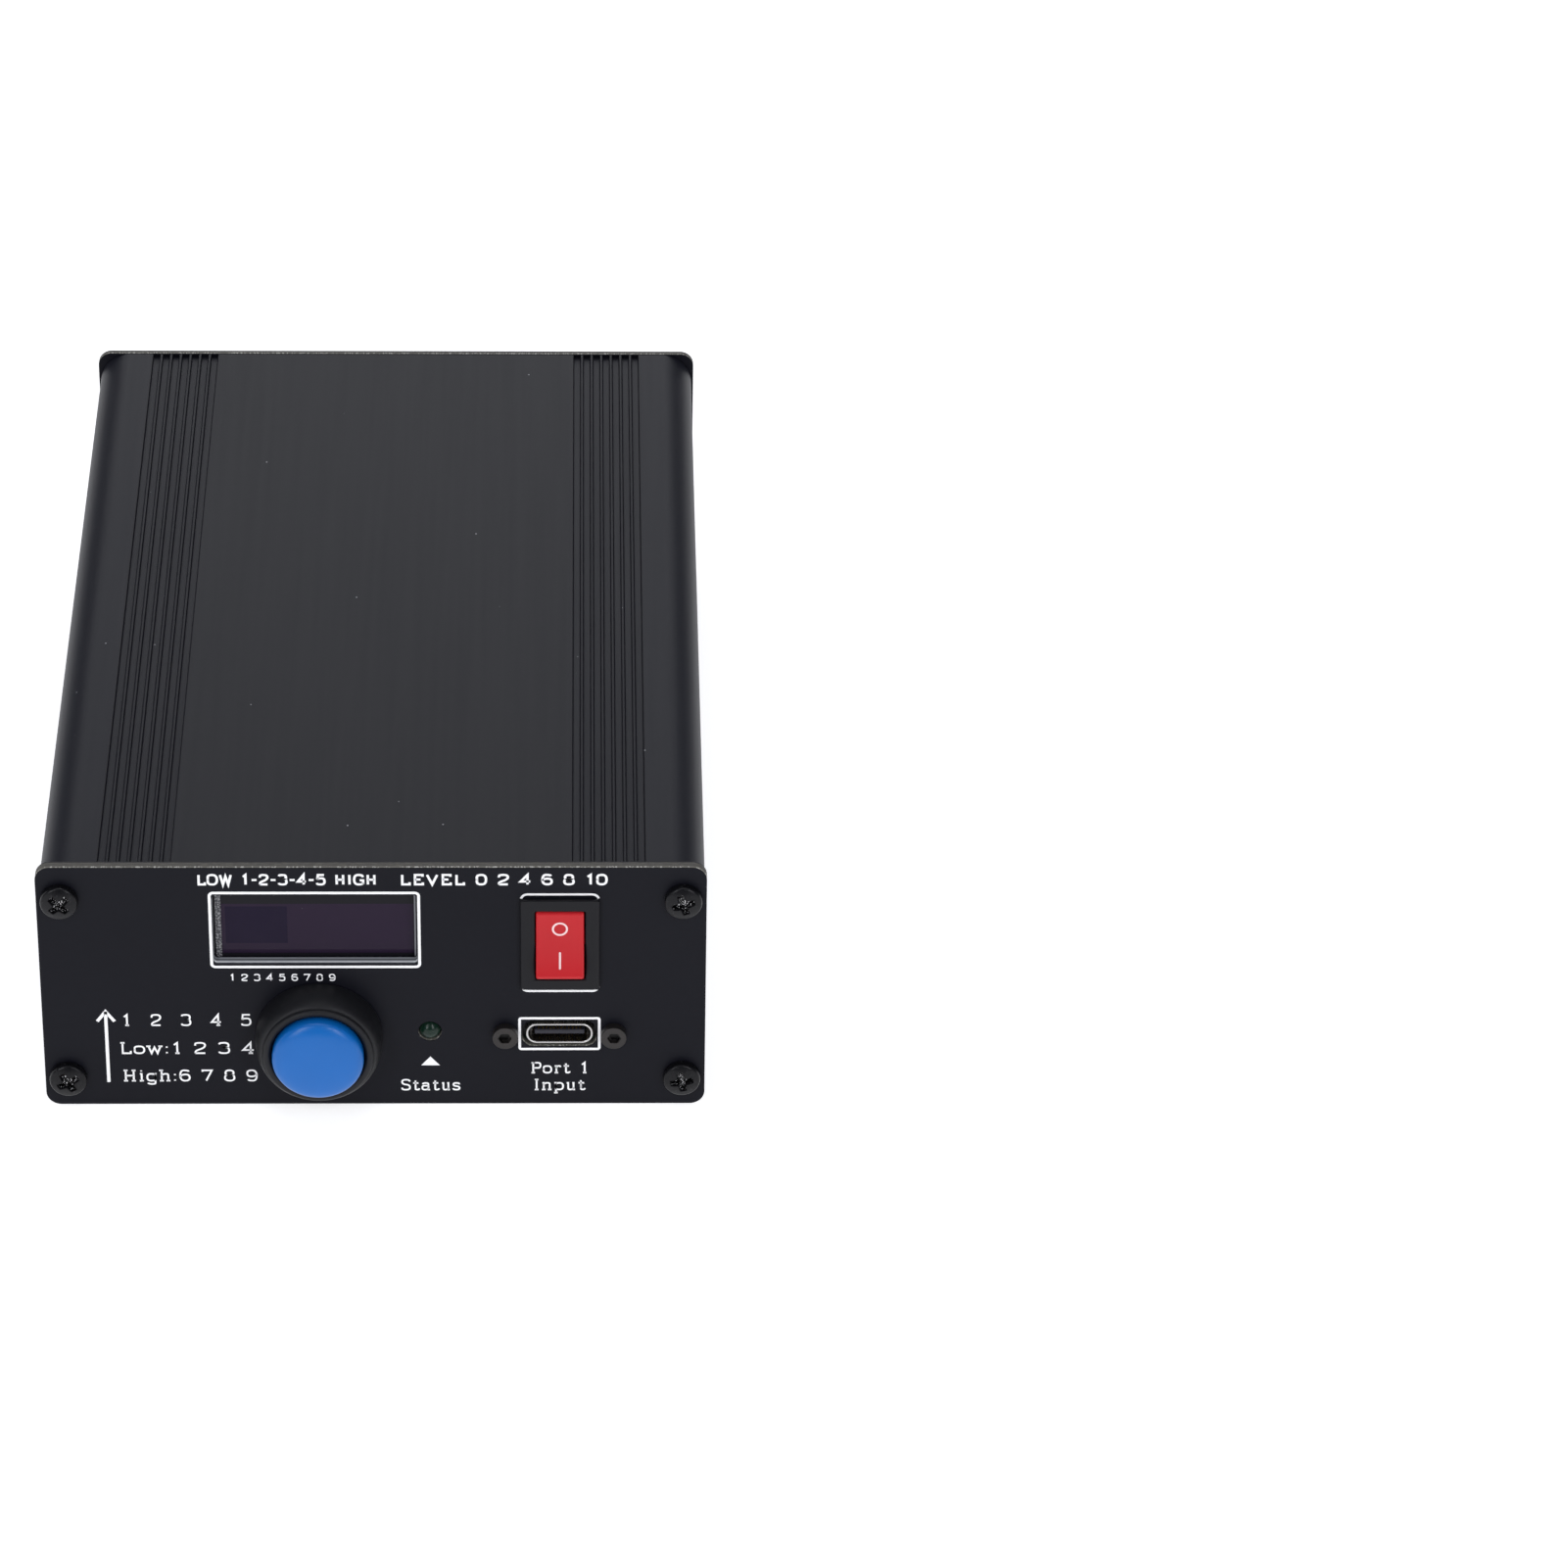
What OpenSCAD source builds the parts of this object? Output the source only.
// Compact automatic antenna tuner: a split aluminium case with circuit-board end panels, and
// the display, power switch, push button, charging port, tuning board, battery and antenna
// sockets that it carries.
//
// X runs across the case, Y from front to back and Z up. The origin is the centre of the base.
// All sizes are in millimetres and all angles are in degrees.

/* [Case] */
// Width of the case
case_w = 88; // [86:1:110]
// Height of the case
case_h = 38; // [38:1:50]
// Length of the case without its end panels
case_l = 135; // [134:1:180]
// Thickness of the case walls
wall = 1.8; // [1.5:0.1:2.2]
// Outer corner radius of the case
case_r = 4.5; // [3.5:0.5:6]
// Grooves in each decorative band
groove_count = 7; // [3:1:9]
// Distance from one groove to the next
groove_pitch = 1.43; // [1.2:0.01:2]
// Width of a groove
groove_w = 1; // [0.5:0.1:1.1]
// Depth of a groove
groove_depth = 0.5; // [0.3:0.1:0.8]
// Distance from the side of the case to the first groove
band_inset = 7.95; // [6:0.05:12]

/* [End panels] */
// Thickness of the front panel
front_t = 1.6; // [1:0.1:2.4]
// Thickness of the rear panel
rear_t = 1; // [0.8:0.1:2]
// Corner radius of both panels
panel_r = 2; // [1:0.5:4]
// How far the front panel stands past each side of the case
front_overhang = 0.2; // [0:0.1:0.5]
// How far the rear panel stands past each side of the case
rear_overhang = 0.3; // [0:0.1:0.5]
// How far the front panel stands above the case
front_rise = 0.4; // [0:0.1:0.8]

/* [Panel screws] */
// Distance from the side of the case to a screw
screw_inset_x = 2.9; // [2.7:0.1:5]
// Distance from the top or the base of the case to a screw
screw_inset_z = 4.6; // [3.5:0.1:5.2]
// Diameter of the screw heads
screw_head_d = 5; // [4.4:0.1:6]
// Height of the screw heads
screw_head_h = 1.7; // [1.4:0.1:2.2]
// Length of the screws under the head
screw_l = 9; // [6:1:14]

/* [Display] */
// Centre of the display window across the panel
window_x = -7.6; // [-12:0.1:-4]
// Centre of the display window above mid height
window_rise = 9.6; // [8:0.1:10]
// Width of the display window
window_w = 27; // [20:0.5:28]
// Height of the display window
window_h = 10.9; // [6:0.1:11]

/* [Power switch] */
// Centre of the switch across the panel
switch_x = 24.8; // [22:0.1:28]
// Centre of the switch above mid height
switch_rise = 7.4; // [4:0.1:9]
// Width of the switch bezel
switch_w = 10.5; // [10:0.1:13]
// Height of the switch bezel
switch_h = 14.4; // [14.2:0.1:18]
// How far the bezel stands out from the panel
switch_bezel_t = 0.8; // [0.6:0.1:2]
// Width of the rocker
rocker_w = 6.4; // [5:0.1:6.6]
// Height of the rocker
rocker_h = 9.4; // [8:0.1:9.6]
// Slope of each half of the rocker's face
rocker_dish = 10; // [0:1:14]
// Angle that the rocker turns through between off and on
rocker_throw = 20; // [12:1:22]

/* [Push button] */
// Centre of the button across the panel
button_x = -7.4; // [-10:0.1:-4]
// Centre of the button below mid height
button_drop = 7.6; // [6:0.1:8]
// Diameter of the bezel at the panel
button_base_d = 17; // [15:0.1:20]
// Diameter of the bezel at its rim
button_rim_d = 14.8; // [14.4:0.1:17]
// How far the bezel stands out from the panel
button_stand = 5; // [4:0.1:7]
// Diameter of the cap
button_cap_d = 12.2; // [11:0.1:12.6]
// How far the edge of the cap stands out of the bezel
button_cap_stand = 1.2; // [0.5:0.1:2]
// Height of the dome on the cap
button_dome = 1; // [0.4:0.1:1.6]
// Diameter of the threaded barrel
button_thread_d = 11.8; // [11:0.1:12.6]
// Travel of the button
button_travel = 1.6; // [0.8:0.1:2]

/* [Charging port] */
// Centre of the port across the panel
port_x = 24.7; // [22:0.1:28]
// Centre of the port below mid height
port_drop = 7.4; // [6:0.1:9]
// Width of the port's metal shell
port_w = 8.94; // [8:0.01:10]
// Height of the port's metal shell
port_h = 3.2; // [2.6:0.1:4]
// Distance between the port's two screws
port_screw_spacing = 14.5; // [14:0.1:18]

/* [Charge light] */
// Centre of the light across the panel
led_x = 7.4; // [6:0.1:10]
// Centre of the light below mid height
led_drop = 7; // [5:0.1:9]
// Diameter of the light
led_d = 3; // [2:0.1:5]

/* [Tuning board] */
// Height of the board's underside above the base
board_z = 9; // [8.6:0.1:11]
// Thickness of the circuit board
board_t = 1.6; // [1:0.1:2]
// Relays in each of the two rows
relay_count = 7; // [3:1:7]
// Distance from one relay to the next
relay_pitch = 12; // [11:0.5:12]
// Outer diameter of a tuning coil's core
coil_core_d = 12.7; // [9:0.1:12.8]
// Inner diameter of a tuning coil's core
coil_core_bore = 7.7; // [6.6:0.1:8]
// Turns on each tuning coil
coil_turns = 12; // [4:1:14]

/* [Battery] */
// Width of the battery
battery_w = 34; // [20:1:50]
// Length of the battery
battery_l = 60; // [30:1:70]
// Thickness of the battery
battery_t = 9; // [4:0.5:9]

/* [Antenna sockets] */
// Distance between the two sockets
socket_spacing = 40; // [34:1:50]
// Outer diameter of a socket's barrel
socket_d = 9.6; // [9:0.1:10]
// How far a socket stands out from the rear panel
socket_stand = 15; // [13:0.5:18]

/* [Hidden] */
$fn = 48;

// Clearances
cut = 1;
snug = 0.02;
fit = 0.05;
loose = 0.15;

// Reference planes and heights
mid_z = case_h / 2;
front_y = -case_l / 2;
face_y = front_y - front_t;
rear_y = case_l / 2;
back_y = rear_y + rear_t;
inner_w = case_w - 2 * wall;
roof_z = case_h - wall;
window_z = mid_z + window_rise;
switch_z = mid_z + switch_rise;
button_z = mid_z - button_drop;
port_z = mid_z - port_drop;
led_z = mid_z - led_drop;

// Case details
lip_t = wall / 2 - fit;
lip_h = 1.2;
screw_x = case_w / 2 - screw_inset_x;
screw_r = 1.2;
channel_r = screw_r + fit;
channel_wall = 1.15;
channel_slot = 1;
rib_l = 2;
rib_t = 1.2;
board_slot = board_t + fit;

// Panel screws: cross recess, and how far each cross is turned
cross_l = 2.9;
cross_w = 0.7;
cross_depth = 1.1;
head_crown = 0.6;
screw_play = 0.4;
screw_hole_r = screw_r + screw_play;
screw_turns = [45, 17, 30, 10];

// Display module
window_r = 0.5;
glass_w = 30;
glass_h = 11.5;
glass_t = 1.45;
header_h = 2.5;
foam_margin = 1;
display_board_w = 38;
display_board_h = 12;
display_board_t = 1.2;
ribbon_h = 8;
ribbon_t = 0.12;
ribbon_flat = 2;
pin_count = 4;
pin_pitch = 2.54;
pin_w = 0.64;
pin_tail = 1.5;
header_inset = 1.6;
header_x = window_x - display_board_w / 2 + header_inset;
header_w = 2.5;
display_y = front_y + header_h;
pin_end_y = display_y + display_board_t + pin_tail;

// Power switch: depths are measured from the panel's face
bezel_lap_x = 1.1;
bezel_lap_z = 0.6;
housing_w = switch_w - 2 * bezel_lap_x;
housing_h = switch_h - 2 * bezel_lap_z;
housing_depth = 12.5;
housing_floor = 1;
rocker_reach = 3.4;
pivot_depth = 1.7;
pivot_r = 1;
rocker_back = 1.2;
rocker_end_r = norm([rocker_reach, rocker_h / 2]);
well_w = rocker_w + 2 * loose;
well_h = 10.4;
stem_r = 1.7;
stem_l = 3.6;
stem_bore_r = 1.1;
plunger_r = stem_bore_r - fit;
plunger_reach = 6.6;
plunger_l = 3.2;
rocker_coil_r = 0.75;
rocker_wire_r = 0.16;
rocker_coil_turns = 4;
arm_w = 4;
arm_l = 9;
arm_t = 0.4;
arm_share = 0.6;
arm_tilt = arm_share * rocker_throw / 2;
arm_pivot_depth = pivot_depth + plunger_reach + fit + arm_t;
blade_w = 2.8;
blade_t = 0.5;
blade_end = 18.5;
fulcrum_r = 0.3;
contact_rise = 3.6;
contact_h = 1.6;
contact_t = 0.5;

// Push button: heights are measured outwards from the panel's face
thread_r = button_thread_d / 2;
bezel_lip = 0.6;
bezel_steps = 10;
bezel_floor = 1;
button_bore_r = 4.6;
barrel_end = -14;
ledge_top = -7;
ledge_t = 1;
plunger_shaft_r = 3;
collar_r = 4;
collar_t = 1;
seal_gap = 0.4;
seal_w = 1.4;
seal_in_r = thread_r + seal_gap;
seal_out_r = seal_in_r + seal_w;
seal_t = 0.4;
nut_af = 15;
nut_t = 3;
cap_bottom = bezel_floor + button_travel + loose;
cap_edge = button_stand + button_cap_stand;
cap_r = button_cap_d / 2;
bridge_r = 3.8;
bridge_t = 0.4;
bridge_top = ledge_top - ledge_t - fit - collar_t;
pad_top = bridge_top - bridge_t - button_travel - fit;
pad_t = 0.4;
pad_w = 2;
terminal_x = 2.6;
terminal_w = 2;
terminal_t = 0.5;
terminal_end = -20;
base_t = 1.2;
spring_r = 3.75;
spring_wire_r = 0.25;
spring_turns = 5;

// Charging port: the shell sits on its own small board, under a moulded bracket
port_r = 1.5;
port_wall = 0.3;
port_depth = 7.4;
port_opening_gap = 0.5;
tongue_w = 6.7;
tongue_t = 0.7;
tongue_inset = 0.4;
contact_count = 12;
contact_pitch = 0.5;
contact_w = 0.28;
contact_film = 0.06;
contact_l = 3.6;
bracket_margin = 2.3;
bracket_w = port_screw_spacing + 2 * bracket_margin;
bracket_depth = 6;
bracket_top = 3;
charger_w = 9.2;
charger_l = 15;
charger_t = 1.2;
charger_top_z = port_z - port_h / 2;
charger_chip_w = 4;
charger_chip_l = 4.9;
charger_chip_h = 1.5;
charger_choke_w = 3;
charger_choke_h = 1.2;
port_screw_r = 1;
port_head_r = 1.7;
port_head_h = 1.2;
port_hex_af = 1.5;
port_screw_end = 2.4;
port_screw_l = front_t + bracket_depth + port_screw_end;
port_nut_af = 4;
port_nut_t = 1.6;

// Charge light
led_r = led_d / 2;
led_proud = 0.5;
led_l = 5.3;
led_flange = 0.4;
led_flange_t = 1;
led_lead_gap = 1.27;
led_lead_w = 0.5;
led_lead_l = 6;
led_back_y = face_y - led_proud + led_l;

// Tuning board
board_front_gap = 23.5;
board_rear_gap = 1.5;
board_w = inner_w - 2 * loose;
board_y0 = front_y + board_front_gap;
board_y1 = rear_y - board_rear_gap;
board_mid_y = (board_y0 + board_y1) / 2;
board_top = board_z + board_t;
bank_y = board_mid_y - 3;
relay_w = 7.5;
relay_l = 10;
relay_h = 10;
relay_x = 31;
relay_edge = 0.6;
capacitor_x = 25;
capacitor_w = 3.2;
capacitor_l = 4.5;
capacitor_h = 2;
coil_x = 15;
coil_rows = [[-coil_x, 4], [coil_x, 3]];
coil_pitch = 18;
coil_core_h = 4.8;
coil_wire_r = 0.4;
coil_turn_r = turn_r(coil_core_d / 2, coil_core_bore / 2, coil_core_h, coil_wire_r);
coil_lift = coil_turn_r + coil_wire_r - coil_core_h / 2;
chip_size = [5.3, 10.2, 1.8];
chip_forward = 27;
chip_legs = 14;
chip_leg_pitch = 0.65;
chip_leg_size = [1, 0.3, 0.3];
shield_x = 15;
shield_size = 7;
shield_groove_r = 2.8;
shield_groove_w = 0.7;
shield_groove_depth = 0.5;
shield_h = 4;
shield_back = 10;
plug_depth = 5.8;
plug_h = 7;
plug_pitch = 2;
plug_side = 1.5;
plug_wall = 0.8;
plug_wire_z = board_top + plug_h / 2;
plugs = [[-24, 4], [button_x, 2], [led_x, 2], [20, 2], [31, 2]];
battery_plug_back = 10;
core_r = 6.35;
core_bore_r = 3.9;
core_t = 3.2;
core_wire_r = 0.25;
core_turns = 10;
core_y = rear_y - 17.5;
core_z = board_top + wound_r(core_r, core_bore_r, core_t, core_wire_r);
landing_y = rear_y - 23;

// Battery
battery_r = 3;
tape_t = 1;
tape_margin = 4;
battery_top_z = roof_z - tape_t;
battery_lead_spread = 2;

// Antenna sockets: heights are measured outwards from the rear panel's face
socket_r = socket_d / 2;
socket_bore_r = 4.05;
socket_web_h = 3.5;
socket_flange_r = 7.2;
socket_flange_t = 1.8;
socket_thread_r = 4.7;
socket_thread_l = 7;
lug_r = 1;
lug_reach = 5.5;
lug_back = 4.6;
insulator_r = 2.4;
insulator_end = 4;
socket_pin_r = 1.1;
socket_pin_bore_r = 0.7;
socket_pin_bore_l = 5;
socket_pin_end = 3;
socket_pin_tail = 9;
tag_t = 0.4;
tag_w = 3;
tag_l = 11;
washer_r = 7;
washer_t = 0.6;
socket_nut_af = 12.7;
socket_nut_t = 2.6;

// Wires
wire_r = 0.6;
thin_wire_r = 0.45;
wire_steps = 12;
wire_sides = 8;
stub = 4;

// Points, directions and sweeps

function unit(v) = v / norm(v);
function curve_point(a, b, c, d, t) =
    pow(1 - t, 3) * a + 3 * pow(1 - t, 2) * t * b + 3 * (1 - t) * t * t * c + t * t * t * d;
function curve_slope(a, b, c, d, t) =
    unit(pow(1 - t, 2) * (b - a) + 2 * (1 - t) * t * (c - b) + t * t * (d - c));

// A route is a list of [point, direction] pairs. It leaves point a along leave, and arrives at
// point b along arrive.
function route(a, leave, b, arrive) = [
    for (i = [0:wire_steps])
        let (t = i / wire_steps)
        [curve_point(a, a + leave, b - arrive, b, t), curve_slope(a, a + leave, b - arrive, b, t)]
];
function helix(r, height, turns, steps) = [
    for (i = [0:turns * steps])
        let (a = 360 * i / steps, climb = height / (turns * 2 * PI * r))
        [[r * cos(a), r * sin(a), height * i / (turns * steps)], unit([-sin(a), cos(a), climb])]
];

// A round tube of radius r along a route. side is a direction that the route never takes.
module sweep(path, r, sides, side) {
    last = len(path) - 1;
    points = [
        for (step = path, k = [0:sides - 1])
            let (u = unit(cross(step[1], side)), v = cross(step[1], u), a = 360 * k / sides)
            step[0] + r * (cos(a) * u + sin(a) * v)
    ];
    walls = [
        for (i = [0:last - 1], k = [0:sides - 1])
            let (n = (k + 1) % sides, a = i * sides, b = a + sides)
            each [[a + k, b + k, b + n], [a + k, b + n, a + n]]
    ];
    start = [for (k = [0:sides - 1]) k];
    end = [for (k = [sides - 1:-1:0]) last * sides + k];
    polyhedron(points, concat(walls, [start, end]));
}
module wire(path, r) sweep(path, r, wire_sides, [1, 0, 0]);

// Flat outlines

module rounded_rect(w, h, r) {
    square([w, h - 2 * r], center = true);
    square([w - 2 * r, h], center = true);
    for (x = [-1, 1], y = [-1, 1])
        translate([x * (w / 2 - r), y * (h / 2 - r)]) circle(r);
}
module stadium(w, h, r) rounded_rect(w, h, min(r, h / 2 - snug));

// Placing: the panel modules turn a flat outline or a solid to face outwards

module on_front(x, z) translate([x, face_y, z]) rotate([90, 0, 0]) children();
module on_rear(x, z) translate([x, back_y, z]) rotate([90, 0, 180]) children();
module at_screws() {
    for (i = [0:3])
        let (x = i % 2 == 0 ? -screw_x : screw_x, z = i < 2 ? case_h - screw_inset_z : screw_inset_z)
        translate([x, z]) rotate(screw_turns[i]) children();
}
module at_sockets() for (x = [-1, 1] * socket_spacing / 2) on_rear(x, mid_z) children();
module hexagon(af) circle(d = af / cos(30), $fn = 6);
module tube(r, bore_r, h) {
    difference() {
        cylinder(r = r, h = h);
        translate([0, 0, -cut]) cylinder(r = bore_r, h = h + 2 * cut);
    }
}

// Case: both halves are the same extrusion, one of them turned over

module half_outline() {
    difference() {
        translate([0, mid_z]) rounded_rect(case_w, case_h, case_r);
        translate([0, mid_z]) rounded_rect(inner_w, case_h - 2 * wall, case_r - wall);
        translate([-case_w, mid_z]) square([2 * case_w, case_h]);
        translate([-inner_w / 2 - lip_t - fit, mid_z - lip_h - fit]) square([lip_t + 2 * fit, case_h]);
    }
    translate([inner_w / 2, mid_z - wall]) square([lip_t, wall + lip_h]);
}
module half_features() {
    for (side = [-1, 1]) {
        intersection() {
            translate([side * screw_x, screw_inset_z]) circle(channel_r + channel_wall);
            translate([0, mid_z]) rounded_rect(case_w, case_h, case_r);
        }
        for (z = [board_z - rib_t, board_z + board_slot])
            translate([side * (inner_w / 2 - rib_l / 2 + fit), z + rib_t / 2])
                square([rib_l + 2 * fit, rib_t], center = true);
    }
}
module half_cuts() {
    for (side = [-1, 1]) {
        translate([side * screw_x, screw_inset_z]) circle(channel_r);
        translate([side * (screw_x - channel_r - cut / 2), screw_inset_z])
            square([channel_r + channel_wall + cut, channel_slot], center = true);
        for (i = [0:groove_count - 1])
            translate([side * (case_w / 2 - band_inset - groove_w / 2 - i * groove_pitch), 0])
                square([groove_w, 2 * groove_depth], center = true);
    }
}
module half_shell() {
    translate([0, rear_y, 0]) rotate([90, 0, 0]) linear_extrude(case_l) difference() {
        union() {
            half_outline();
            half_features();
        }
        half_cuts();
    }
}
module lower_shell() color("#35363b") half_shell();
module upper_shell() color("#35363b") translate([0, 0, case_h]) rotate([0, 180, 0]) half_shell();

// End panels

module front_holes() {
    at_screws() circle(screw_hole_r);
    translate([window_x, window_z]) rounded_rect(window_w, window_h, window_r);
    translate([switch_x, switch_z]) square([housing_w + 2 * loose, housing_h + 2 * loose], center = true);
    translate([button_x, button_z]) circle(thread_r + loose);
    translate([led_x, led_z]) circle(led_r + fit);
    translate([port_x, port_z])
        stadium(port_w + 2 * port_opening_gap, port_h + 2 * port_opening_gap, port_r);
    for (side = [-1, 1])
        translate([port_x + side * port_screw_spacing / 2, port_z]) circle(port_screw_r + loose);
}
module front_panel() {
    front_h = case_h + front_rise;
    color("#232428") on_front(0, 0) translate([0, 0, -front_t]) linear_extrude(front_t) difference() {
        translate([0, front_h / 2]) rounded_rect(case_w + 2 * front_overhang, front_h, panel_r);
        front_holes();
    }
}
module rear_panel() {
    color("#232428") on_rear(0, 0) translate([0, 0, -rear_t]) linear_extrude(rear_t) difference() {
        translate([0, mid_z]) rounded_rect(case_w + 2 * rear_overhang, case_h, panel_r);
        at_screws() circle(screw_hole_r);
        for (x = [-1, 1] * socket_spacing / 2)
            translate([x, mid_z]) circle(socket_thread_r + loose);
    }
}

// Panel screws: pan heads with a cross recess

module pan_screw() {
    crown_r = (pow(screw_head_d / 2, 2) + pow(head_crown, 2)) / (2 * head_crown);
    difference() {
        intersection() {
            cylinder(d = screw_head_d, h = screw_head_h);
            translate([0, 0, screw_head_h - crown_r]) sphere(crown_r, $fn = 96);
        }
        for (turn = [0, 90])
            translate([0, 0, screw_head_h - cross_depth / 2 + cut / 2]) rotate(turn)
                cube([cross_l, cross_w, cross_depth + cut], center = true);
    }
    translate([0, 0, -screw_l]) cylinder(r = screw_r, h = screw_l + cross_depth / 4);
}
module front_panel_screws() color("#1c1c1f") on_front(0, 0) at_screws() pan_screw();
module rear_panel_screws() color("#1c1c1f") on_rear(0, 0) at_screws() pan_screw();

// Display: the glass shows through the window, and its ribbon folds back onto the board

module display_glass() {
    color("#241d33") translate([window_x, front_y + glass_t / 2, window_z])
        cube([glass_w, glass_t, glass_h], center = true);
}
module display_ribbon() {
    fold_r = (header_h - glass_t) / 2;
    color("#b5762e")
        translate([window_x - glass_w / 2, front_y + glass_t + fold_r, window_z - ribbon_h / 2])
        linear_extrude(ribbon_h) {
            difference() {
                circle(fold_r);
                circle(fold_r - ribbon_t);
                translate([0, -2 * fold_r]) square(4 * fold_r);
            }
            translate([0, -fold_r]) square([ribbon_flat, ribbon_t]);
            translate([0, fold_r - ribbon_t]) square([ribbon_flat, ribbon_t]);
        }
}
module display_tape() {
    tape_w = glass_w - ribbon_flat - foam_margin;
    color("#f0efe6")
        translate([window_x + (glass_w - tape_w) / 2, front_y + (glass_t + header_h) / 2, window_z])
        cube([tape_w, header_h - glass_t, glass_h - 2 * foam_margin], center = true);
}
module at_pins() {
    for (i = [0:pin_count - 1])
        translate([header_x, front_y, window_z + (i - (pin_count - 1) / 2) * pin_pitch])
            rotate([-90, 0, 0]) children();
}
module display_board() {
    color("#1f4f8f") difference() {
        translate([window_x, display_y + display_board_t / 2, window_z])
            cube([display_board_w, display_board_t, display_board_h], center = true);
        at_pins() cylinder(d = pin_w * sqrt(2) + 2 * fit, h = pin_end_y - front_y);
    }
}
module display_header() {
    color("#202020") difference() {
        translate([header_x, front_y + header_h / 2, window_z])
            cube([header_w, header_h, pin_count * pin_pitch], center = true);
        at_pins() cube([pin_w + 2 * snug, pin_w + 2 * snug, 3 * header_h], center = true);
    }
}
module display_pins() {
    color("#d8b04a") at_pins()
        translate([-pin_w / 2, -pin_w / 2, 0]) cube([pin_w, pin_w, pin_end_y - front_y]);
}

// Power switch: everything is placed from the rocker's pivot, with depth into the case as Y

module at_pivot(turn) translate([switch_x, face_y + pivot_depth, switch_z]) rotate([turn, 0, 0]) children();
module across(w) rotate([90, 0, 90]) translate([0, 0, -w / 2]) linear_extrude(w) children();
module axle(r, l) rotate([0, 90, 0]) translate([0, 0, -l / 2]) cylinder(r = r, h = l);
module inwards(r, l) rotate([-90, 0, 0]) cylinder(r = r, h = l);

module switch_housing() {
    color("#1d1e21") difference() {
        union() {
            translate([switch_x, face_y - switch_bezel_t / 2, switch_z])
                cube([switch_w, switch_bezel_t, switch_h], center = true);
            translate([switch_x, face_y + housing_depth / 2, switch_z])
                cube([housing_w, housing_depth, housing_h], center = true);
        }
        at_pivot(0) axle(rocker_end_r + loose, well_w);
        translate([switch_x, face_y + (pivot_depth + housing_depth - housing_floor) / 2, switch_z])
            cube([well_w, housing_depth - housing_floor - pivot_depth, well_h], center = true);
        at_pivot(0) axle(pivot_r + fit, housing_w + 2 * cut);
        for (z = [0, contact_rise])
            translate([switch_x, face_y + housing_depth, switch_z + z])
                cube([blade_w + 2 * snug, 4 * housing_floor, blade_t + 2 * snug], center = true);
    }
}
module rocker_outline() {
    fold = rocker_reach - rocker_h / 2 * tan(rocker_dish);
    far = rocker_end_r + cut;
    intersection() {
        circle(rocker_end_r, $fn = 96);
        polygon([
            [-rocker_reach, far], [-rocker_reach, rocker_h / 2], [-fold, 0],
            [-rocker_reach, -rocker_h / 2], [-rocker_reach, -far], [rocker_back, -far],
            [rocker_back, far]
        ]);
    }
}
module rocker() {
    color("#c22f35") at_pivot(-rocker_throw / 2) difference() {
        union() {
            across(rocker_w) rocker_outline();
            axle(pivot_r, housing_w);
            inwards(stem_r, stem_l);
        }
        inwards(stem_bore_r, stem_l + cut);
    }
}
module rocker_plunger() {
    color("#e8e2d0") at_pivot(-rocker_throw / 2) {
        translate([0, plunger_reach - plunger_l, 0]) inwards(plunger_r, plunger_l - plunger_r);
        intersection() {
            translate([0, plunger_reach - plunger_r, 0]) sphere(plunger_r);
            translate([0, plunger_reach - plunger_r - snug, 0]) inwards(2 * plunger_r, 2 * plunger_r);
        }
    }
}
module rocker_spring() {
    height = plunger_reach - plunger_l - 2 * rocker_wire_r - 2 * snug;
    color("#b8bcc2") at_pivot(-rocker_throw / 2)
        translate([0, rocker_wire_r + snug, 0]) rotate([-90, 0, 0])
        sweep(helix(rocker_coil_r, height, rocker_coil_turns, 12), rocker_wire_r, 6, [0, 0, 1]);
}
module switch_contact_arm() {
    color("#c9a23f") translate([switch_x, face_y + arm_pivot_depth, switch_z]) rotate([arm_tilt, 0, 0])
        translate([0, -arm_t / 2, 0]) cube([arm_w, arm_t, arm_l], center = true);
}
module switch_terminals() {
    fulcrum = arm_pivot_depth + fulcrum_r + fit;
    pad = arm_pivot_depth + (contact_rise + contact_h / 2) * tan(arm_tilt) + fit;
    color("#c9a23f") translate([switch_x, face_y, switch_z]) {
        translate([0, (fulcrum + blade_end) / 2, 0])
            cube([blade_w, blade_end - fulcrum, blade_t], center = true);
        translate([0, fulcrum, 0]) axle(fulcrum_r, blade_w);
        translate([0, (pad + blade_end) / 2, contact_rise])
            cube([blade_w, blade_end - pad, blade_t], center = true);
        translate([0, pad + contact_t / 2, contact_rise])
            cube([blade_w, contact_t, contact_h], center = true);
    }
}

// Push button: everything is placed on its own axis, with the way out of the case as Z

module at_button() on_front(button_x, button_z) children();

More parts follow.
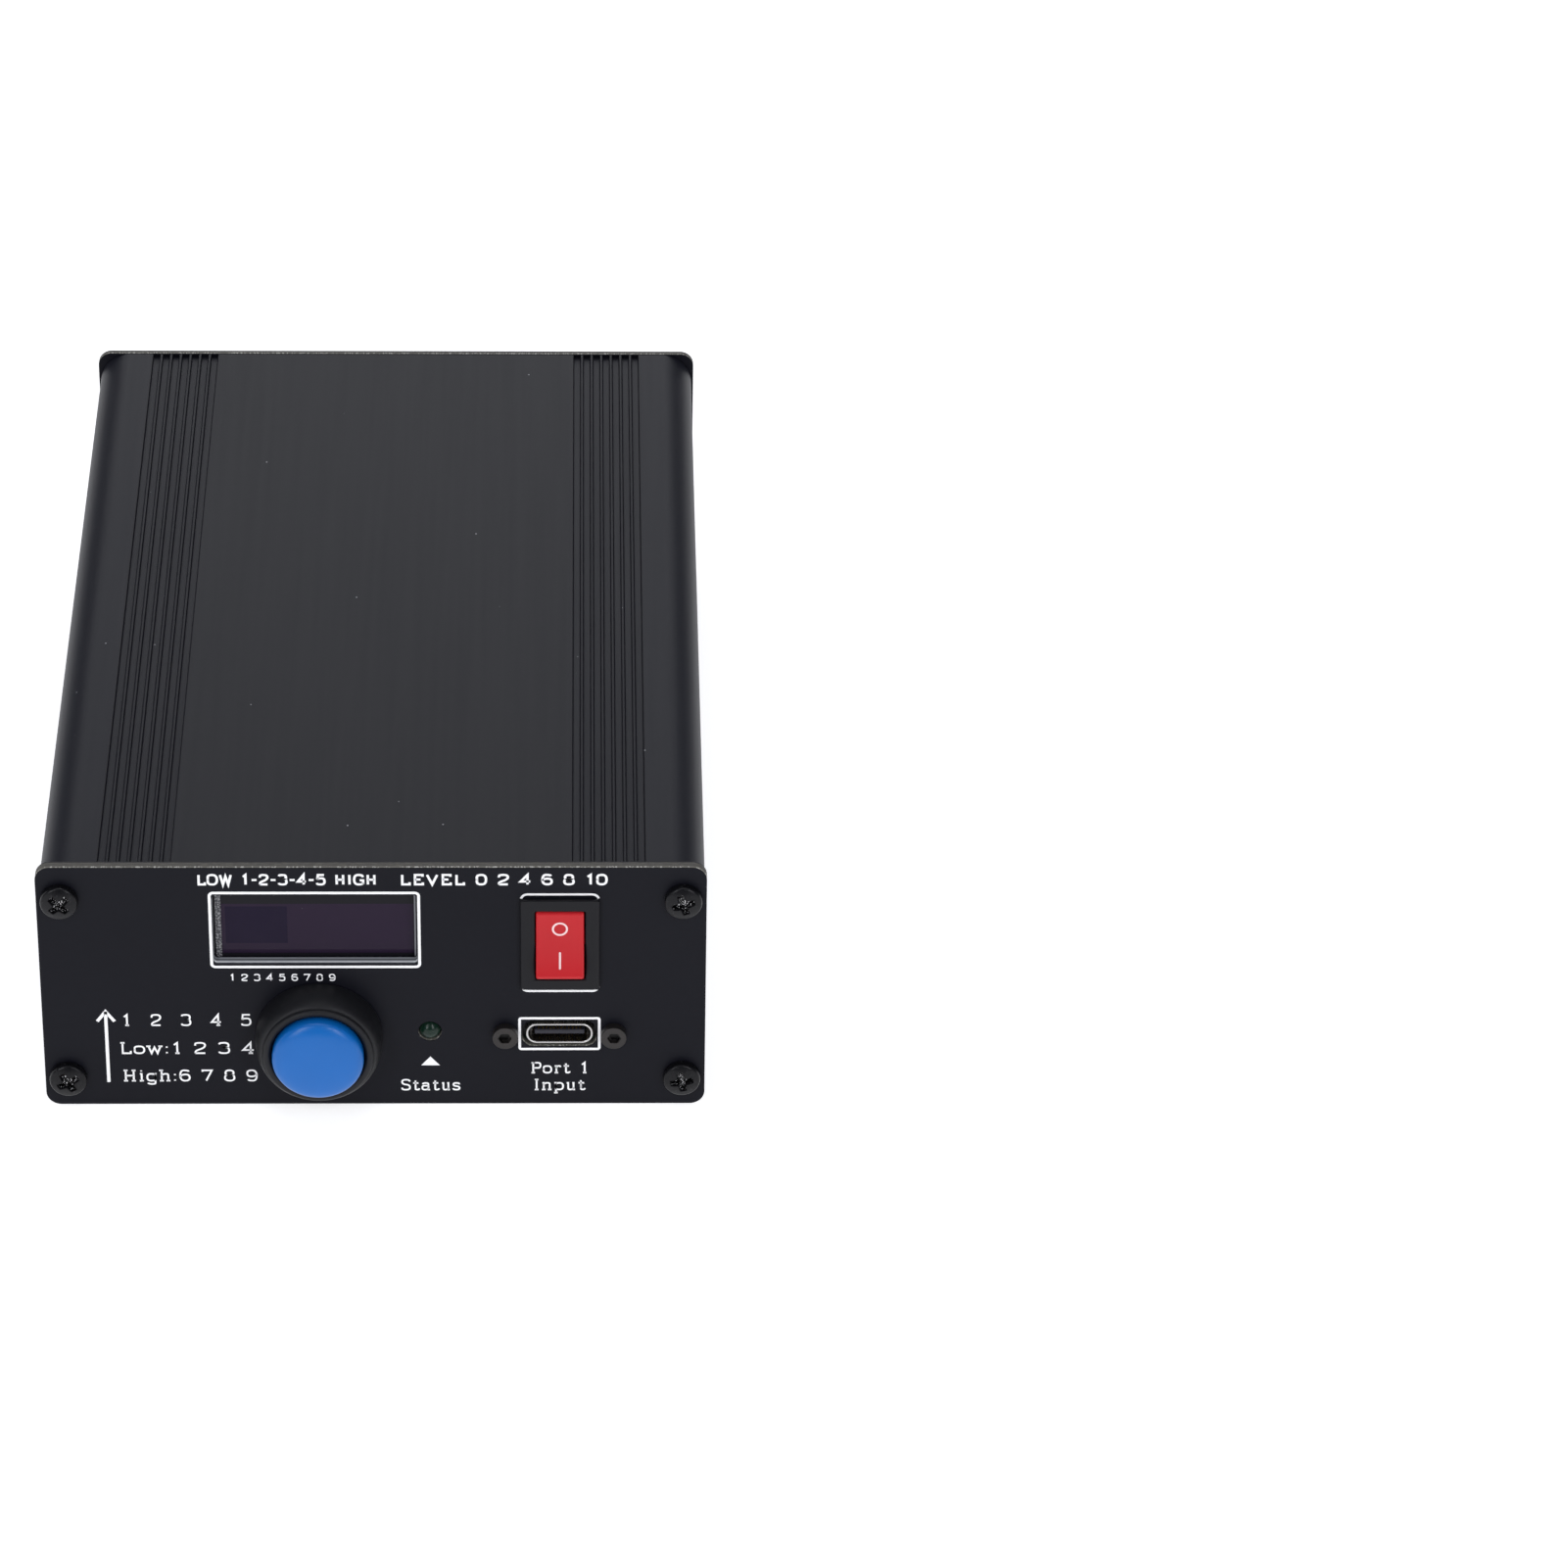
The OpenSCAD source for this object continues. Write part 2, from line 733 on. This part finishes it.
// The side of the bezel sweeps in from the base to the rim along a quarter of an ellipse
function bezel_side() = [
    for (i = [0:bezel_steps])
        let (a = 90 * i / bezel_steps)
        [
            button_rim_d / 2 + (button_base_d - button_rim_d) / 2 * cos(a),
            bezel_lip + (button_stand - 2 * bezel_lip) * sin(a)
        ]
];
module button_bezel() {
    rim = button_rim_d / 2;
    side = concat([[button_base_d / 2, 0]], bezel_side(), [[rim - bezel_lip / 2, button_stand]]);
    inside = [
        [cap_r + loose, button_stand], [cap_r + loose, bezel_floor],
        [button_bore_r, bezel_floor], [button_bore_r, ledge_top],
        [plunger_shaft_r + fit, ledge_top], [plunger_shaft_r + fit, ledge_top - ledge_t],
        [button_bore_r, ledge_top - ledge_t], [button_bore_r, barrel_end],
        [thread_r, barrel_end], [thread_r, 0], [seal_in_r, 0], [seal_in_r, seal_t],
        [seal_out_r, seal_t], [seal_out_r, 0]
    ];
    color("#1b1b1e") at_button() rotate_extrude() polygon(concat(side, inside));
}
module button_seal() color("#101010") at_button() tube(seal_out_r - fit, seal_in_r + fit, seal_t);
module button_nut() {
    color("#1b1b1e") at_button() translate([0, 0, -front_t - nut_t]) linear_extrude(nut_t) difference() {
        hexagon(nut_af);
        circle(thread_r + fit);
    }
}
module button_cap() {
    dome_r = (pow(cap_r, 2) + pow(button_dome, 2)) / (2 * button_dome);
    color("#2f74c9") at_button() intersection() {
        translate([0, 0, cap_bottom]) cylinder(r = cap_r, h = cap_edge + button_dome - cap_bottom);
        translate([0, 0, cap_edge + button_dome - dome_r]) sphere(dome_r, $fn = 128);
    }
}
module button_plunger() {
    color("#e8e2d0") at_button() {
        translate([0, 0, bridge_top]) cylinder(r = plunger_shaft_r, h = cap_bottom - bridge_top);
        translate([0, 0, bridge_top]) cylinder(r = collar_r, h = collar_t);
    }
}
module button_spring() {
    bottom = ledge_top + spring_wire_r + fit;
    height = cap_bottom - spring_wire_r - fit - bottom;
    color("#b8bcc2") at_button() translate([0, 0, bottom])
        sweep(helix(spring_r, height, spring_turns, 18), spring_wire_r, 6, [0, 0, 1]);
}
module button_contact_bridge() {
    color("#c9a23f") at_button() translate([0, 0, bridge_top - bridge_t])
        cylinder(r = bridge_r, h = bridge_t);
}
module at_terminals() for (side = [-1, 1]) translate([side * terminal_x, 0, 0]) children();
module button_base() {
    color("#7a3a22") at_button() difference() {
        translate([0, 0, barrel_end - base_t]) cylinder(r = thread_r, h = base_t);
        at_terminals() translate([0, 0, barrel_end])
            cube([terminal_t + 2 * snug, terminal_w + 2 * snug, 4 * base_t], center = true);
    }
}
module button_terminals() {
    color("#c9a23f") at_button() at_terminals() {
        translate([-terminal_t / 2, -terminal_w / 2, terminal_end])
            cube([terminal_t, terminal_w, pad_top - terminal_end]);
        translate([-pad_w / 2, -terminal_w / 2, pad_top - pad_t]) cube([pad_w, terminal_w, pad_t]);
    }
}

// Charging port

module at_port() on_front(port_x, port_z) children();
module at_port_screws() for (side = [-1, 1]) translate([side * port_screw_spacing / 2, 0, 0]) children();
module port_shell() {
    color("#b9bcc2") at_port() translate([0, 0, -port_depth]) difference() {
        linear_extrude(port_depth) stadium(port_w, port_h, port_r);
        translate([0, 0, port_wall]) linear_extrude(port_depth)
            stadium(port_w - 2 * port_wall, port_h - 2 * port_wall, port_r - port_wall);
    }
}
module port_tongue() {
    length = port_depth - port_wall - tongue_inset;
    color("#2b2a31") at_port() translate([-tongue_w / 2, -tongue_t / 2, -tongue_inset - length])
        cube([tongue_w, tongue_t, length]);
}
module port_contacts() {
    span = (contact_count - 1) * contact_pitch;
    color("#d8b04a") at_port() for (i = [0:contact_count - 1], side = [-1, 1])
        translate([i * contact_pitch - span / 2, side * (tongue_t + contact_film) / 2,
                   -tongue_inset - contact_w - contact_l / 2])
            cube([contact_w, contact_film, contact_l], center = true);
}
module port_bracket() {
    color("#1d1e21") at_port() translate([0, 0, -front_t - bracket_depth]) linear_extrude(bracket_depth)
        difference() {
            translate([-bracket_w / 2, -port_h / 2]) square([bracket_w, port_h / 2 + bracket_top]);
            stadium(port_w + 2 * snug, port_h + 2 * snug, port_r + snug);
            translate([0, -port_h / 2]) square([port_w - 2 * port_r, port_h], center = true);
            at_port_screws() circle(port_screw_r + fit);
        }
}
module port_screws() {
    color("#3a3533") at_port() at_port_screws() difference() {
        union() {
            cylinder(r = port_head_r, h = port_head_h);
            translate([0, 0, -port_screw_l]) cylinder(r = port_screw_r, h = port_screw_l + snug);
        }
        translate([0, 0, port_head_h / 3]) linear_extrude(port_head_h) hexagon(port_hex_af);
    }
}
module port_nuts() {
    color("#c9a23f") at_port() at_port_screws() translate([0, 0, -front_t - bracket_depth - port_nut_t])
        linear_extrude(port_nut_t) difference() {
            hexagon(port_nut_af);
            circle(port_screw_r + fit);
        }
}
module charger_board() {
    color("#1f5f3a") translate([port_x - charger_w / 2, front_y, charger_top_z - charger_t])
        cube([charger_w, charger_l, charger_t]);
}
module charger_parts() {
    chip = [charger_chip_w, charger_chip_l, charger_chip_h];
    choke = [charger_choke_w, charger_choke_w, charger_choke_h];
    back = front_y + charger_l - cut;
    color("#2a2a2c") translate([port_x - charger_w / 2 + cut, 0, charger_top_z]) {
        translate([0, back - chip[1], 0]) cube(chip);
        translate([chip[0] + cut, back - choke[1], 0]) cube(choke);
    }
}

// Charge light

module charge_light() {
    color("#0e3b20") on_front(led_x, led_z) translate([0, 0, led_proud - led_l]) {
        cylinder(r = led_r + led_flange, h = led_flange_t);
        cylinder(r = led_r, h = led_l - led_r);
        intersection() {
            translate([0, 0, led_l - led_r]) sphere(led_r);
            translate([0, 0, led_l - led_r - snug]) cylinder(r = led_d, h = led_d);
        }
    }
}
module charge_light_leads() {
    color("#b9bcc2") for (side = [-1, 1])
        translate([led_x + side * led_lead_gap - led_lead_w / 2, led_back_y, led_z - led_lead_w / 2])
            cube([led_lead_w, led_lead_l, led_lead_w]);
}

// Tuning board and what is soldered to it

module at_bank(x) {
    for (i = [0:relay_count - 1])
        translate([x, bank_y + (i - (relay_count - 1) / 2) * relay_pitch, board_top]) children();
}
module at_coils() {
    for (row = coil_rows, i = [0:row[1] - 1])
        translate([row[0], bank_y + (i - (row[1] - 1) / 2) * coil_pitch, board_top]) children();
}
module at_cores() {
    for (x = [-1, 1] * socket_spacing / 2)
        translate([x, core_y + core_t / 2, core_z]) rotate([90, 0, 0]) children();
}
module tuning_board() {
    color("#1f5f3a") translate([-board_w / 2, board_y0, board_z])
        cube([board_w, board_y1 - board_y0, board_t]);
}
module relays() {
    color("#e9e6dc") for (x = [-relay_x, relay_x]) at_bank(x) {
        translate([-relay_w / 2, -relay_l / 2, 0]) cube([relay_w, relay_l, relay_h - relay_edge]);
        translate([0, 0, relay_h - relay_edge / 2])
            cube([relay_w - relay_edge, relay_l - relay_edge, relay_edge], center = true);
    }
}
module capacitors() {
    color("#b07a3c") for (x = [-capacitor_x, capacitor_x]) at_bank(x)
        translate([-capacitor_w / 2, -capacitor_l / 2, 0]) cube([capacitor_w, capacitor_l, capacitor_h]);
}

// A turn of a winding is a ring round the core's section, just wide enough to clear its corners
function turn_r(outer, bore, h, wire) = norm([(outer - bore) / 2, h / 2]) + wire + fit;
function wound_r(outer, bore, h, wire) = (outer + bore) / 2 + turn_r(outer, bore, h, wire) + wire;
module winding(outer, bore, h, wire, turns) {
    for (i = [0:turns - 1])
        rotate(360 * (i + 0.5) / turns) translate([(outer + bore) / 2, 0, h / 2]) rotate([90, 0, 0])
            rotate_extrude() translate([turn_r(outer, bore, h, wire), 0]) circle(wire, $fn = 16);
}
module coil_cores() {
    color("#b3262b") at_coils() translate([0, 0, coil_lift])
        tube(coil_core_d / 2, coil_core_bore / 2, coil_core_h);
}
module coil_windings() {
    color("#b5632b") at_coils() translate([0, 0, coil_lift])
        winding(coil_core_d / 2, coil_core_bore / 2, coil_core_h, coil_wire_r, coil_turns);
}
module transformer_cores() color("#3a3a3e") at_cores() tube(core_r, core_bore_r, core_t);
module transformer_windings() {
    color("#b5632b") at_cores() winding(core_r, core_bore_r, core_t, core_wire_r, core_turns);
}
module controller_chip() {
    span = (chip_legs - 1) * chip_leg_pitch;
    color("#2a2a2c") translate([0, bank_y - chip_forward, board_top]) {
        translate([-chip_size[0] / 2, -chip_size[1] / 2, 0]) cube(chip_size);
        for (side = [-1, 1], i = [0:chip_legs - 1])
            translate([side * (chip_size[0] + chip_leg_size[0]) / 2, i * chip_leg_pitch - span / 2,
                       chip_leg_size[2] / 2])
                cube(chip_leg_size, center = true);
    }
}
module power_inductor() {
    color("#55555a") translate([shield_x, board_y0 + shield_back, board_top + shield_h / 2]) difference() {
        cube([shield_size, shield_size, shield_h], center = true);
        translate([0, 0, shield_h / 2 - shield_groove_depth])
            tube(shield_groove_r, shield_groove_r - shield_groove_w, shield_h);
    }
}

// Wire plugs: the front row faces forwards, and the battery's faces up

function plug_w(pins) = pins * plug_pitch + 2 * plug_side;
module plug(pins) {
    difference() {
        translate([-plug_w(pins) / 2, 0, 0]) cube([plug_w(pins), plug_depth, plug_h]);
        translate([0, 0, plug_h - plug_wall]) translate([-plug_w(pins) / 4, plug_wall, 0])
            cube([plug_w(pins) / 2, plug_depth / 2, 2 * plug_wall]);
    }
}
module wire_plugs() {
    color("#ece8da") {
        for (p = plugs) translate([p[0], board_y0, board_top]) plug(p[1]);
        translate([0, board_y0 + battery_plug_back + plug_h / 2, board_top]) rotate([90, 0, 0])
            translate([-plug_w(2) / 2, 0, 0]) cube([plug_w(2), plug_depth, plug_h]);
    }
}

// Battery, taped under the roof of the case

module battery() {
    color("#2f5fa8") translate([0, bank_y, battery_top_z - battery_t]) linear_extrude(battery_t)
        rounded_rect(battery_w, battery_l, battery_r);
}
module battery_tape() {
    color("#f0efe6") translate([0, bank_y, roof_z - tape_t / 2])
        cube([battery_w - tape_margin, battery_l - tape_margin, tape_t], center = true);
}
module battery_leads() {
    plug_top = board_top + plug_depth;
    color("#b3262b") for (side = [-1, 1])
        wire(route([side * battery_lead_spread, bank_y - battery_l / 2, battery_top_z - battery_t / 2],
                   [0, -3 * stub, 0],
                   [side * plug_pitch / 2, board_y0 + battery_plug_back, plug_top], [0, 0, -2 * stub]),
             wire_r);
}

// Antenna sockets: bayonet barrels through the rear panel

module socket_bodies() {
    color("#c3c5c9") at_sockets() difference() {
        union() {
            cylinder(r = socket_flange_r, h = socket_flange_t);
            cylinder(r = socket_r, h = socket_stand);
            translate([0, 0, -socket_thread_l]) cylinder(r = socket_thread_r, h = socket_thread_l + cut);
            translate([0, 0, socket_stand - lug_back]) axle(lug_r, 2 * lug_reach);
        }
        translate([0, 0, socket_web_h]) cylinder(r = socket_bore_r, h = socket_stand);
        translate([0, 0, -socket_thread_l - cut])
            cylinder(r = insulator_r + snug, h = socket_stand + socket_thread_l + 2 * cut);
    }
}
module socket_insulators() {
    color("#f2f1ec") at_sockets() translate([0, 0, -socket_thread_l])
        tube(insulator_r, socket_pin_r + snug, socket_stand - insulator_end + socket_thread_l);
}
module socket_contacts() {
    color("#d8b04a") at_sockets() difference() {
        translate([0, 0, -rear_t - socket_pin_tail])
            cylinder(r = socket_pin_r, h = socket_stand - socket_pin_end + rear_t + socket_pin_tail);
        translate([0, 0, socket_stand - socket_pin_end - socket_pin_bore_l])
            cylinder(r = socket_pin_bore_r, h = socket_pin_bore_l + cut);
    }
}
module socket_tags() {
    color("#c9a23f") at_sockets() translate([0, 0, -rear_t - tag_t]) linear_extrude(tag_t) difference() {
        union() {
            circle(washer_r);
            translate([-tag_w / 2, 0]) square([tag_w, tag_l]);
        }
        circle(socket_thread_r + fit);
        translate([0, tag_l - tag_w / 2]) circle(tag_w / 4);
    }
}
module socket_washers() {
    color("#c3c5c9") at_sockets() translate([0, 0, -rear_t - tag_t - washer_t])
        tube(washer_r, socket_thread_r + fit, washer_t);
}
module socket_nuts() {
    color("#c3c5c9") at_sockets() translate([0, 0, -rear_t - tag_t - washer_t - socket_nut_t])
        linear_extrude(socket_nut_t) difference() {
            hexagon(socket_nut_af);
            circle(socket_thread_r + fit);
        }
}

// Wires from the front panel's pieces to their plugs, and from the sockets to the board

function plug_end(plug, i) = [
    plug[0] + (i - (plug[1] - 1) / 2) * plug_pitch, board_y0, plug_wire_z
];
module front_wires() {
    ahead = [0, stub, 0];
    color("#c9c9cf") {
        for (i = [0:pin_count - 1])
            wire(route([header_x, pin_end_y, window_z + (i - (pin_count - 1) / 2) * pin_pitch],
                       2 * ahead, plug_end(plugs[0], i), 2 * ahead), thin_wire_r);
        for (i = [0, 1]) {
            side = 2 * i - 1;
            wire(route([button_x + side * terminal_x, face_y - terminal_end, button_z], ahead / 2,
                       plug_end(plugs[1], i), ahead / 2), wire_r);
            wire(route([led_x + side * led_lead_gap, led_back_y + led_lead_l, led_z], ahead,
                       plug_end(plugs[2], i), ahead), thin_wire_r);
            wire(route([port_x + side * plug_pitch, front_y + charger_l, charger_top_z - charger_t / 2],
                       ahead, plug_end(plugs[3], i), ahead), thin_wire_r);
            wire(route([switch_x, face_y + blade_end, switch_z + i * contact_rise], ahead,
                       plug_end(plugs[4], i), ahead), wire_r);
        }
    }
}
module antenna_wires() {
    back = [0, -stub, 0];
    color("#d8d3c4") for (x = [-1, 1] * socket_spacing / 2) {
        through = route([x, rear_y - socket_pin_tail, mid_z], back, [x, core_y, core_z], back);
        down = route([x, core_y, core_z], back, [x, landing_y, board_top], [0, 0, -stub]);
        wire(concat(through, [for (i = [1:wire_steps]) down[i]]), wire_r);
    }
}

upper_shell();
lower_shell();
front_panel();
rear_panel();
front_panel_screws();
rear_panel_screws();
display_glass();
display_ribbon();
display_tape();
display_board();
display_header();
display_pins();
switch_housing();
rocker();
rocker_plunger();
rocker_spring();
switch_contact_arm();
switch_terminals();
button_bezel();
button_seal();
button_nut();
button_cap();
button_plunger();
button_spring();
button_contact_bridge();
button_base();
button_terminals();
port_shell();
port_tongue();
port_contacts();
port_bracket();
port_screws();
port_nuts();
charger_board();
charger_parts();
charge_light();
charge_light_leads();
tuning_board();
relays();
coil_cores();
coil_windings();
capacitors();
controller_chip();
transformer_cores();
transformer_windings();
wire_plugs();
power_inductor();
battery();
battery_tape();
battery_leads();
socket_bodies();
socket_insulators();
socket_contacts();
socket_tags();
socket_washers();
socket_nuts();
front_wires();
antenna_wires();
